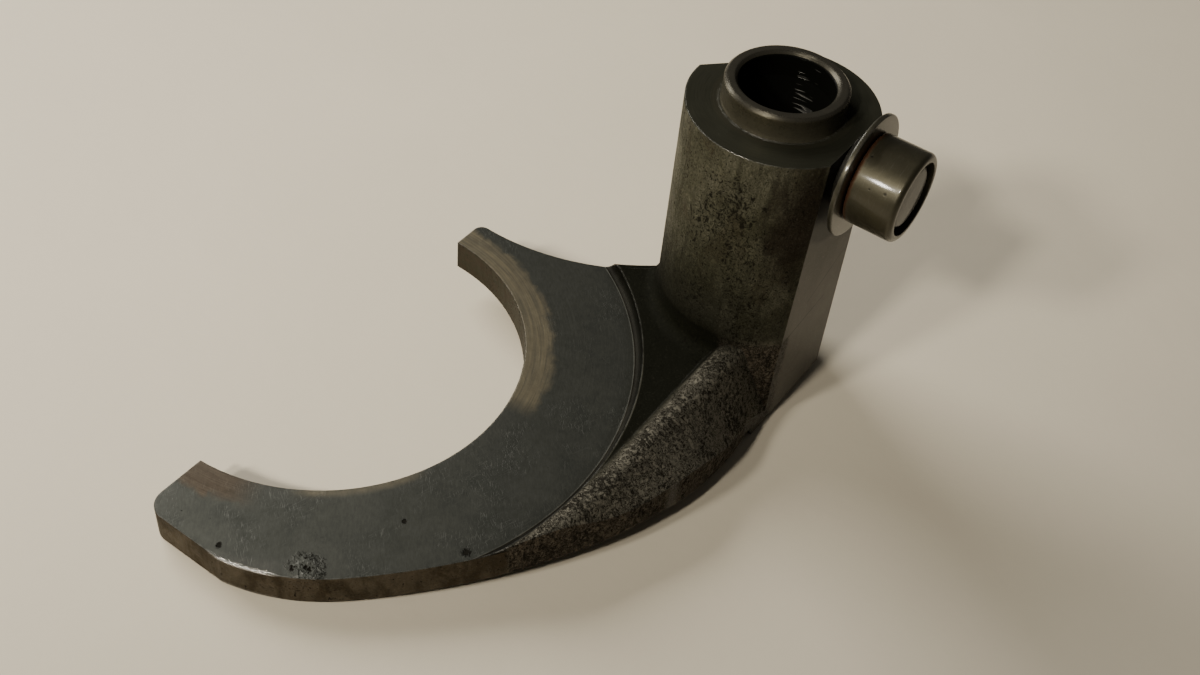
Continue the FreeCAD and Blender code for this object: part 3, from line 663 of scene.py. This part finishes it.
def pad_tone(finish, at, marks, tints, sizes):
    """Colour of the turned pads: stained, scored, and worn to bronze or tan along the mouth."""
    stain = finish.rise(marks.cloud * 0.6 + marks.patch * 0.4, 0.36, 0.64)
    pad = finish.mix(stain, tints.pad, tints.pad_dark)

    # Lighter pads at the near tip, along the mouth and round the burr, and a painted highlight
    # along the near arm's rubbed edge
    halo = finish.rise(at.round_jaw, -76.0, -93.0) * finish.rise(at.from_jaw, 33.0, 35.0)
    halo = halo + finish.rise(at.from_jaw, 32.5, 29.0) * (1.0 - at.far_arm) * 0.6
    halo = halo + finish.rise(finish.distance(at.place, BURR), 7.0, 1.0) * 0.5 + marks.shine
    halo = (halo * finish.rise(marks.patch, 0.25, 0.6)).clamp()
    pad = finish.mix(halo * 0.75, pad, tints.pad_light)
    pad = finish.shade(pad, 0.5 + marks.mottle * 0.3 + marks.brushed * 0.7)
    pad = finish.mix(marks.scores * 0.09, pad, tints.bright)

    # The band where the gear has run: bronze on the far arm, tan at the near tip
    worn = sizes.worn_radius * PER_METRE
    band = finish.rise(at.from_jaw - worn - (marks.patch - 0.5) * 4.0, 0.8, -0.8)
    bronze = finish.mix(marks.grooves, tints.bronze, tints.pad)
    pad = finish.mix(
        band * at.far_arm * 0.85, pad, finish.shade(bronze, 0.7 + marks.mottle * 0.5))
    tan = finish.mix(marks.grooves, tints.tan, tints.skin_brown)
    pad = finish.mix(band * at.near_tip * 0.8, pad, finish.shade(tan, 0.6 + marks.mottle * 0.8))
    rim = finish.rise(at.from_jaw, 30.6, 29.3) * finish.within(at.round_jaw, -52.0, -28.0, 8.0)
    pad = finish.mix(rim * 0.5 * marks.mottle, pad, tints.bronze)

    # The burr has bright crests over dark hollows
    pad = finish.mix(marks.burr * finish.rise(marks.mottle, 0.52, 0.62) * 0.25, pad, tints.bright)
    return finish.mix(marks.burr * finish.rise(marks.mottle, 0.46, 0.4), pad, tints.pit)


def flat_tone(finish, at, marks, tints):
    """Colour of the milled flat, darker at the top in painted shade, with two scores across it."""
    flat = finish.shade(tints.flat, 0.45 + marks.patch * 0.5 + marks.mottle * 0.45)
    # Painted shade: the flat darker at the top, near the washer and the roller
    flat = finish.shade(flat, 0.7 + finish.rise(at.z, 34.0, 12.0) * 0.3)
    for (first_y, first_z), (last_y, last_z) in FLAT_SCORES:
        slope = (last_z - first_z) / (last_y - first_y)
        offset = at.z - first_z - (at.y - first_y) * slope + (marks.mottle - 0.5) * 0.3
        line = finish.rise(offset * offset, 0.03, 0.002) * finish.within(
            at.y, last_y, first_y, 1.0)
        flat = finish.mix(line * 0.8, flat, tints.pit)
    return finish.mix(finish.rise(marks.peaks, 0.5, 1.0) * 0.12, flat, tints.bright)


def machined_tone(finish, at, marks, tints, sizes, tone):
    """The skin's colour with the machined faces laid over it, painted shade in the bore and on the
    step, and bright cuts painted on the bore's lit side.
    """
    tone = finish.mix(at.pad, tone, pad_tone(finish, at, marks, tints, sizes))
    # The step at the pads' rim is laid near black in the bore's colour: painted shade
    tone = finish.mix(at.step * 0.9, tone, tints.bore)
    wall = finish.mix(finish.rise(marks.mottle, 0.4, 0.65), tints.skin, tints.side)
    tone = finish.mix(at.inner_wall * 0.8, tone, finish.shade(wall, 0.5))
    tone = finish.mix(at.milled, tone, flat_tone(finish, at, marks, tints))
    # A painted shadow of the washer, dark on the flat round the pin
    washer_shadow = finish.rise(from_pin(at), *WASHER_SHADOW_REACH)
    tone = finish.mix(washer_shadow * at.milled * 0.93, tone, tints.grime_and_shade)
    shoulder = finish.shade(tints.shoulder, 0.5 + marks.rings * 0.5 + marks.cloud * 0.5)
    # A lighter ring round the collar's foot: a painted highlight
    shoulder = finish.mix(finish.rise(at.from_bore, 10.5, 10.1) * 0.4, shoulder, tints.collar)
    tone = finish.mix(at.shoulder, tone, shoulder)
    top = sizes.hub_top * PER_METRE
    collar = finish.shade(tints.collar, 0.65 + marks.mottle * 0.4 + marks.rings * 0.3)
    collar = finish.mix(finish.rise(at.z, top + 3.2, top + 3.8) * 0.5, collar, tints.flat)
    tone = finish.mix(at.collar, tone, collar)
    # The bore is laid near black as painted shade; its tool cuts are painted bright only on its lit
    # side, a painted highlight
    lit = finish.within(at.round_bore, 80.0, 99.0, 6.0) * finish.within(at.z, 38.0, 46.0, 2.0)
    cut = finish.rise(marks.tool_marks, 0.56, 0.66) * lit
    return finish.mix(at.bore, tone, finish.mix(cut * 0.3, tints.bore, tints.bright)), cut


def fork_relief(at, marks, cut):
    """Height of the fork's surface over the solid, in millimetres."""
    rough_skin = (1.0 - at.machined) * (1.0 - at.bore)
    height = (marks.mottle * 0.1 + marks.grain * 0.04 + marks.patch * 0.1) * rough_skin
    height = height - marks.pits * (0.14 + at.rib * 0.06) + marks.peaks * at.rib * 0.06
    height = height - marks.grooves * at.far_arm * at.pad * 0.012 - at.pad * marks.turning * 0.003
    height = height - marks.scores * at.pad * 0.004 - marks.dents * 0.2
    height = height + marks.burr * marks.mottle * 0.5 - cut * 0.1
    return height + (at.shoulder + at.collar) * marks.rings * 0.015


def fork_finish(sizes, tints):
    """Forged skin with machined, worn and polished faces, each where it lies on the fork."""
    finish = Finish("forged_steel_worn", IOR=1.5, Specular_IOR_Level=0.06)
    at = fork_places(finish, sizes)
    marks = fork_marks(finish, at, sizes)
    tone, hollow_shade_and_oil = skin_tone(finish, at, marks, tints)
    tone, cut = machined_tone(finish, at, marks, tints, sizes, tone)
    tone = finish.mix(marks.dents * 0.9, tone, tints.pit)
    # Painted shade in the corners of the machined faces
    tone = finish.mix(marks.corner * at.machined * (1.0 - at.collar) * 0.7, tone, tints.grime_and_shade)

    # Bright steel on the worn edges, and painted highlights: more on the shoulder's front, which
    # faces the lamps, along the near arm's edge and at the glint
    rubbed = marks.edge * marks.open_sky * finish.rise(marks.mottle, 0.36, 0.58)
    front = finish.within(at.round_bore, -97.0, -76.0, 22.0) * at.shoulder
    rubbed = rubbed * (0.12 + 0.22 * at.machined + front * 0.5)
    rubbed = rubbed * (1.0 - marks.shine) * (1.0 - at.collar * 0.97)
    # A painted glint where the hub meets the rib
    glint = finish.rise(finish.distance(at.place, GLINT) + (marks.grain - 0.5) * 1.2, 0.55, 0.3)
    shine = (marks.shine * marks.edge * finish.rise(marks.grain, 0.3, 0.5) + glint).clamp()
    tone = finish.mix(rubbed, tone, tints.bright)
    tone = finish.mix(shine, tone, tints.bright)

    metal = finish.blend(at.machined, 0.3, 0.7)
    metal = finish.blend((marks.pits + hollow_shade_and_oil + marks.dents + at.bore).clamp(), metal, 0.0)
    metal = finish.blend((rubbed + shine + cut).clamp(), metal, 1.0)
    skin_rough = 0.46 + marks.mottle * 0.2 + marks.run_down * 0.08
    face_rough = 0.36 + marks.cloud * 0.14 + marks.grain * 0.06 - marks.scores * 0.06
    gloss = finish.blend(at.machined, skin_rough, face_rough)
    gloss = finish.blend(at.collar, gloss, 0.22 + marks.mottle * 0.12)
    gloss = finish.blend((marks.pits + marks.dents + hollow_shade_and_oil * 0.7).clamp(), gloss, 0.85)
    gloss = finish.blend((rubbed + shine).clamp(), gloss, 0.24)
    normal = finish.bump(fork_relief(at, marks, cut), marks.rounded)
    finish.drive(Base_Color=tone, Metallic=metal, Roughness=gloss, Normal=normal)
    return finish


def turned_finish(name, tint, tints, rust_reach, polish, bright_share):
    """Turned steel: fine rings about the pin's axis, stains, nicks and a rust line at the foot."""
    finish = Finish(name, IOR=1.5, Metallic=0.7, Coat_Weight=0.5, Coat_Roughness=0.12)
    place = finish.millimetres()
    x, y, z = finish.split(place)
    rise_z = z - ROLLER_AXIS.z * PER_METRE
    away = (y * y + rise_z * rise_z) ** 0.5
    around = finish.turn_of(y, rise_z)
    cloud = finish.noise(place, 3.5, 4.0, 0.6, 0.5)
    mottle = finish.noise(place, 0.9, 4.0, 0.65)
    grain = finish.noise(place, 0.18, 2.0, 0.6)
    rings = finish.noise(finish.join(x, away, around * 0.6), 0.12, 2.0, 0.6)
    nicks = finish.pits(place, 1.0, 0.2, 0.35)
    rounded, edge = finish.worn_edge(0.2 * MM)
    tone = finish.shade(tint, 0.6 + cloud * 0.6 + rings * 0.05)
    tone = finish.mix(finish.rise(mottle, 0.55, 0.75) * 0.35, tone, tints.skin)
    tone = finish.mix(finish.rise(rings, 0.58, 0.7) * bright_share, tone, tints.bright)
    line = finish.rise(x + (mottle - 0.5) * 0.6, rust_reach + 0.5, rust_reach - 0.1)
    tone = finish.mix(line * 0.85, tone, tints.rust)
    tone = finish.mix(finish.rise(nicks, 0.1, 0.5) * 0.7, tone, tints.pit)
    rubbed = edge * finish.rise(mottle, 0.3, 0.5) * 0.7
    tone = finish.mix(rubbed, tone, tints.bright)
    gloss = polish + cloud * 0.12 + grain * 0.08 + line * 0.4
    height = grain * 0.004 - rings * 0.002 - nicks * 0.04 + mottle * 0.02
    finish.drive(Base_Color=tone, Roughness=gloss, Normal=finish.bump(height, rounded))
    return finish


def rounded_profile(corners):
    """Points of a profile whose corners (x, radius, rounding) are rounded off."""
    points = []
    count = len(corners)
    for index, (x, radius, rounding) in enumerate(corners):
        corner = Vector((x, radius))
        if rounding <= 0.0:
            points.append(corner)
            continue
        before = Vector(corners[index - 1][:2])
        after = Vector(corners[(index + 1) % count][:2])
        inwards, outwards = (before - corner).normalized(), (after - corner).normalized()
        half = inwards.angle(outwards) / 2
        run = rounding / math.tan(half)
        centre = corner + (inwards + outwards).normalized() * (rounding / math.sin(half))
        first, last = corner + inwards * run - centre, corner + outwards * run - centre
        for step in range(ROUND_FACES + 1):
            arm = first.lerp(last, step / ROUND_FACES)
            points.append(centre + arm.normalized() * rounding)
    return points


def turn_piece(name, corners, steps):
    """A solid of revolution about the pin's axis from the corners of its profile."""
    shape = bmesh.new()
    loops = []
    for point in rounded_profile(corners):
        if point.y < ON_AXIS:
            loops.append([shape.verts.new((point.x, 0.0, ROLLER_AXIS.z))])
            continue
        loops.append([
            shape.verts.new((
                point.x,
                point.y * math.cos(2 * math.pi * turn / steps),
                ROLLER_AXIS.z + point.y * math.sin(2 * math.pi * turn / steps)))
            for turn in range(steps)])
    for index, loop in enumerate(loops):
        following = loops[(index + 1) % len(loops)]
        if len(loop) == 1 and len(following) == 1:
            continue
        for turn in range(steps):
            other = (turn + 1) % steps
            if len(loop) == 1:
                shape.faces.new((loop[0], following[other], following[turn]))
            elif len(following) == 1:
                shape.faces.new((loop[turn], loop[other], following[0]))
            else:
                shape.faces.new((loop[turn], loop[other], following[other], following[turn]))
    bmesh.ops.recalc_face_normals(shape, faces=shape.faces)
    mesh = bpy.data.meshes.new(name)
    shape.to_mesh(mesh)
    shape.free()
    mesh.shade_smooth()
    mesh.set_sharp_from_angle(angle=math.radians(SHARP_ANGLE))
    piece = bpy.data.objects.new(name, mesh)
    bpy.context.scene.collection.objects.link(piece)
    return piece


def roller_corners(sizes):
    """The roller's profile, with a recess in its outer end."""
    radius = mount_radius("guide_roller")
    inner, wall = sizes.journal_radius + sizes.running_gap, radius - sizes.roller_wall
    floor = ROLLER_HIGH.x - sizes.recess_depth
    return (
        (ROLLER_LOW.x, inner, 0.0),
        (ROLLER_LOW.x, radius, sizes.roller_back_round),
        (ROLLER_HIGH.x, radius, sizes.roller_round),
        (ROLLER_HIGH.x, wall, RECESS_RIM_ROUND),
        (floor, wall, RECESS_FOOT_ROUND),
        (floor, inner, 0.0),
    )


def washer_corners(sizes):
    """The washer's profile, with a rounded rim."""
    radius = (WASHER_HIGH.z - WASHER_LOW.z) / 2
    return (
        (WASHER_LOW.x, sizes.washer_bore, 0.0),
        (WASHER_LOW.x, radius, sizes.washer_round),
        (WASHER_HIGH.x, radius, sizes.washer_round),
        (WASHER_HIGH.x, sizes.washer_bore, 0.0),
    )


def pin_corners(sizes, flat):
    """The pin's profile: its seat below the flat, its shoulder, its journal and its domed head."""
    journal, head = sizes.journal_radius, sizes.head_radius
    head_start = ROLLER_HIGH.x - sizes.recess_depth + HEAD_GAP
    dome_start = PIN_HIGH.x - sizes.head_dome
    return (
        (PIN_LOW.x, 0.0, 0.0),
        (PIN_LOW.x, sizes.seat_radius, 0.0),
        (flat, sizes.seat_radius, 0.0),
        (flat, sizes.shoulder_radius, 0.0),
        (WASHER_LOW.x, sizes.shoulder_radius, 0.0),
        (WASHER_LOW.x, journal, 0.0),
        (head_start, journal, 0.0),
        (head_start, head, 0.0),
        (dome_start - 0.2 * MM, head, 0.3 * MM),
        (dome_start, head * 0.9, 0.5 * MM),
        (PIN_HIGH.x, head * 0.45, 1.5 * MM),
        (PIN_HIGH.x, 0.0, 0.0),
    )


class FORK_OT_body(bpy.types.Operator):
    """Give the forged body its finish"""

    bl_idname = "fork.body"
    bl_label = "Fork body"

    def execute(self, context):
        scene = context.scene
        paint("fork_body", fork_finish(scene.fork_sizes, scene.fork_colours))
        return {"FINISHED"}


class FORK_OT_turned(bpy.types.Operator):
    """Make the roller, the washer and the pin with rounded and domed ends"""

    bl_idname = "fork.turned"
    bl_label = "Roller, washer and pin"

    def execute(self, context):
        scene = context.scene
        sizes, tints, steps = scene.fork_turned, scene.fork_colours, scene.fork_turned.steps
        roller = turn_piece("roller_ring", roller_corners(sizes), steps)
        washer = turn_piece("washer_ring", washer_corners(sizes), steps)
        pin = turn_piece("pin_turned", pin_corners(sizes, scene.fork_sizes.flat_distance), steps)
        roller_foot = ROLLER_LOW.x * PER_METRE + RUST_LINE
        washer_foot = WASHER_LOW.x * PER_METRE + RUST_FREE
        pin_foot = PIN_LOW.x * PER_METRE + RUST_FREE
        rows = (
            (roller, "guide_roller", "roller", "roller_steel",
             turned_finish("roller_polished", tints.roller, tints, roller_foot, 0.36, 0.03)),
            (washer, "thrust_washer", "fork", "washer_steel",
             turned_finish("washer_stamped", tints.washer, tints, washer_foot, 0.32, 0.05)),
            (pin, "roller_pin", "fork", "pin_steel",
             turned_finish("pin_ground", tints.pin, tints, pin_foot, 0.5, 0.03)),
        )
        for piece, node, body, slot, finish in rows:
            piece.data.materials.append(finish.material)
            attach(piece, body)
            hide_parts(node)
        return {"FINISHED"}


def resting_plane():
    """A point and the upward normal of the plane that the fork lies on.

    It is the face of the fork's hull that has the centre of mass most safely above it.
    """
    hull = bmesh.new()
    for node in frame["nodes"].values():
        hull.from_mesh(node.data)
    weight, volume = Vector(), 0.0
    bmesh.ops.triangulate(hull, faces=hull.faces)
    for face in hull.faces:
        # The solid between the origin and the face, with its volume and its centre
        a, b, c = (vertex.co for vertex in face.verts)
        part = a.dot(b.cross(c)) / 6
        volume += part
        weight += (a + b + c) / 4 * part
    centre = weight / volume
    made = bmesh.ops.convex_hull(hull, input=hull.verts)
    best = None
    for face in made["geom"]:
        if not isinstance(face, bmesh.types.BMFace) or face.normal.z > LOOKS_DOWN:
            continue
        corners = [vertex.co.copy() for vertex in face.verts]
        foot = centre + face.normal * (corners[0] - centre).dot(face.normal)
        sides = [
            (corners[(index + 1) % 3] - corner).cross(foot - corner).dot(face.normal)
            for index, corner in enumerate(corners)]
        inside = min(sides)
        if best is None or inside > best[0]:
            best = (inside, corners[0], -face.normal.copy())
    hull.free()
    return best[1], best[2]


def direction(azimuth, height):
    """A unit vector from an azimuth and a height in degrees."""
    turn, lift = math.radians(azimuth), math.radians(height)
    level = math.cos(lift)
    return Vector((math.cos(turn) * level, math.sin(turn) * level, math.sin(lift)))


class FORK_OT_stage(bpy.types.Operator):
    """Lay the floor under the fork, and set the lamps and the camera"""

    bl_idname = "fork.stage"
    bl_label = "Stage"

    def execute(self, context):
        scene = context.scene
        settings = scene.fork_stage
        foot, upwards = resting_plane()
        self.floor(scene, settings, foot, upwards)
        self.lamps(scene, settings)
        self.camera(scene, settings)
        return {"FINISHED"}

    def floor(self, scene, settings, foot, upwards):
        """A plain floor along the plane that the fork rests on."""
        half = settings.floor_size / 2
        shape = bmesh.new()
        for x, y in ((-half, -half), (half, -half), (half, half), (-half, half)):
            shape.verts.new((x, y, 0.0))
        shape.faces.new(shape.verts)
        mesh = bpy.data.meshes.new("floor")
        shape.to_mesh(mesh)
        shape.free()
        floor = bpy.data.objects.new("floor", mesh)
        scene.collection.objects.link(floor)
        tilt = upwards.to_track_quat("Z", "Y").to_matrix().to_4x4()
        floor.matrix_world = Matrix.Translation(foot - upwards * FLOOR_GAP * MM) @ tilt
        mesh.materials.append(self.floor_finish(settings).material)

    def floor_finish(self, settings):
        """Matt pale board with faint smudges and a few specks."""
        finish = Finish("floor_board", Specular_IOR_Level=0.3)
        place = finish.millimetres()
        smudge = finish.noise(place, 60.0, 4.0, 0.6, 0.3)
        fibre = finish.noise(place, 1.6, 3.0, 0.6)
        speck = finish.pits(place, 34.0, 0.25, 0.8)
        tone = finish.shade(settings.floor_colour, 0.95 + smudge * 0.08 + fibre * 0.025)
        tone = finish.mix(finish.rise(speck, 0.2, 0.6) * 0.6, tone, SPECK_COLOUR)
        normal = finish.bump(fibre * 0.02 + smudge * 0.3)
        finish.drive(Base_Color=tone, Roughness=0.55 + smudge * 0.15, Normal=normal)
        return finish

    def lamps(self, scene, settings):
        """Two low lamps in front, a broad window at the left, and an even sky."""
        pool = Vector(settings.pool_centre)
        for name, azimuth, height, size in LAMPS:
            data = bpy.data.lights.new(name, "SPOT")
            data.shadow_soft_size = size
            data.spot_size = settings.lamp_spread
            data.spot_blend = 1.0
            data.energy = settings.lamp_power
            data.color = LAMP_TINT
            self.hang(scene, data, LIT_SPOT + direction(azimuth, height) * LAMP_DISTANCE, pool)
        data = bpy.data.lights.new("window", "AREA")
        data.size = WINDOW_SIZE
        data.energy = settings.window_power
        data.color = WINDOW_TINT
        self.hang(scene, data, LIT_SPOT + direction(*WINDOW_DIRECTION) * WINDOW_DISTANCE, LIT_SPOT)
        world = bpy.data.worlds.new("sky")
        world.use_nodes = True
        scene.world = world
        background = world.node_tree.nodes["Background"]
        background.inputs["Color"].default_value = (*settings.sky_colour, 1.0)
        background.inputs["Strength"].default_value = settings.sky_strength

    def hang(self, scene, data, place, aim):
        """Put a light at a place and turn it to what it lights."""
        lamp = bpy.data.objects.new(data.name, data)
        scene.collection.objects.link(lamp)
        lamp.location = place
        lamp.rotation_mode = "QUATERNION"
        lamp.rotation_quaternion = (aim - place).to_track_quat("-Z", "Y")

    def camera(self, scene, settings):
        """The photograph's camera, as a place, a target and a roll."""
        data = bpy.data.cameras.new("camera")
        data.sensor_width = SENSOR_WIDTH
        data.lens = settings.focal_pixels * SENSOR_WIDTH / FRAME_WIDTH
        data.clip_start, data.clip_end = CLIP
        camera = bpy.data.objects.new("camera", data)
        scene.collection.objects.link(camera)
        place, target = Vector(settings.camera_place), Vector(settings.camera_target)
        aim = (target - place).to_track_quat("-Z", "Y").to_matrix().to_4x4()
        roll = Matrix.Rotation(settings.camera_roll, 4, "Z")
        camera.matrix_world = Matrix.Translation(place) @ aim @ roll
        scene.camera = camera


class FORK_PT_panel(bpy.types.Panel):
    """Lists the steps that dress the fork"""

    bl_idname = "FORK_PT_panel"
    bl_label = "Selector fork"
    bl_space_type = "VIEW_3D"
    bl_region_type = "UI"
    bl_category = "Fork"

    def draw(self, context):
        for step in STEPS:
            self.layout.operator(step.bl_idname)


STEPS = (FORK_OT_body, FORK_OT_turned, FORK_OT_stage)
GROUPS = {
    "fork_sizes": ForkSizes,
    "fork_turned": TurnedSizes,
    "fork_colours": FinishColours,
    "fork_stage": StageSettings,
}


def register():
    """Register the classes and hang the settings on the scene."""
    for group in GROUPS.values():
        bpy.utils.register_class(group)
    for step in STEPS:
        bpy.utils.register_class(step)
    bpy.utils.register_class(FORK_PT_panel)
    for name, group in GROUPS.items():
        setattr(bpy.types.Scene, name, bpy.props.PointerProperty(type=group))


def unregister():
    """Undo register."""
    for name in GROUPS:
        delattr(bpy.types.Scene, name)
    bpy.utils.unregister_class(FORK_PT_panel)
    for step in reversed(STEPS):
        bpy.utils.unregister_class(step)
    for group in reversed(list(GROUPS.values())):
        bpy.utils.unregister_class(group)


def main():
    """Dress the fork."""
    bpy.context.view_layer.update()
    register()
    bpy.ops.fork.body()
    bpy.ops.fork.turned()
    bpy.ops.fork.stage()


if __name__ == "__main__":
    main()
